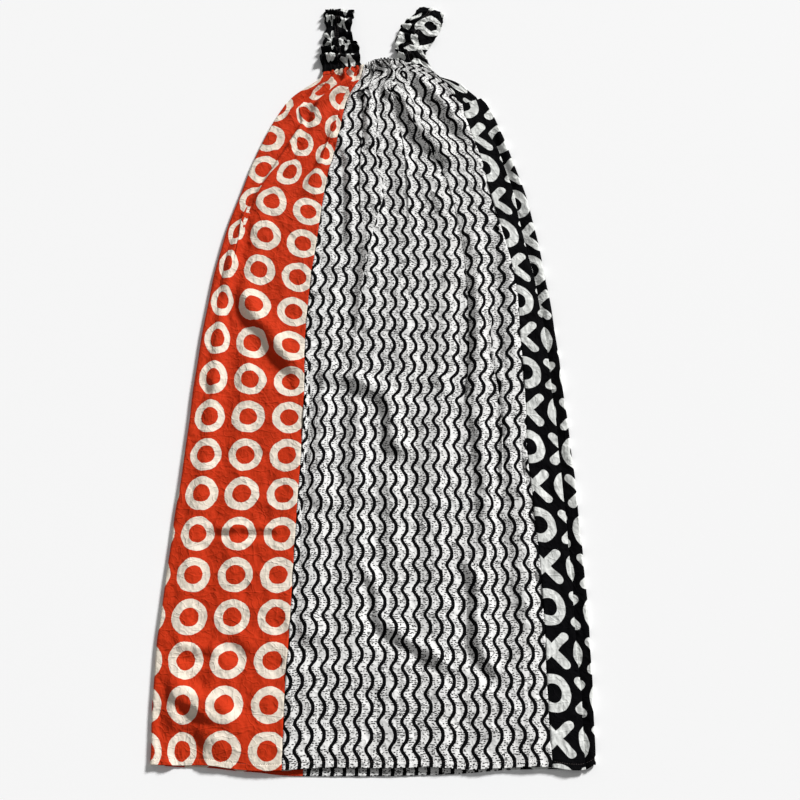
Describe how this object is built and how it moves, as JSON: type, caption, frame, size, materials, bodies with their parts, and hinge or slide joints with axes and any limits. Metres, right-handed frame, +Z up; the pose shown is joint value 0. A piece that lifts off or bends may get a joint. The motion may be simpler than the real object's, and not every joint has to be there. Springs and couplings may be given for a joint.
{
  "type": "ankara wax print dress",
  "caption": "Long sleeveless dress of joined wax print panels, gathered at the neck, with wide ruffled straps, laid flat face up.",
  "frame": {"origin": "centre of the underside of the bounding box, on the surface that the dress lies on", "axes": "+X to the right and +Y from the hem to the straps as the laid dress is seen from above, +Z up from the surface"},
  "size_m": [0.6712, 1.3898, 0.013],
  "materials": {
    "wave_print_cotton": "matt printed cotton",
    "orange_ring_print_cotton": "matt printed cotton",
    "black_cross_print_cotton": "matt printed cotton"
  },
  "bodies": {
    "root": {"front_centre_panel": "wave_print_cotton", "back_centre_panel": "wave_print_cotton", "orange_side_panel": "orange_ring_print_cotton", "black_side_panel": "black_cross_print_cotton", "left_strap": "black_cross_print_cotton", "right_strap": "black_cross_print_cotton"}
  },
  "joints": []
}
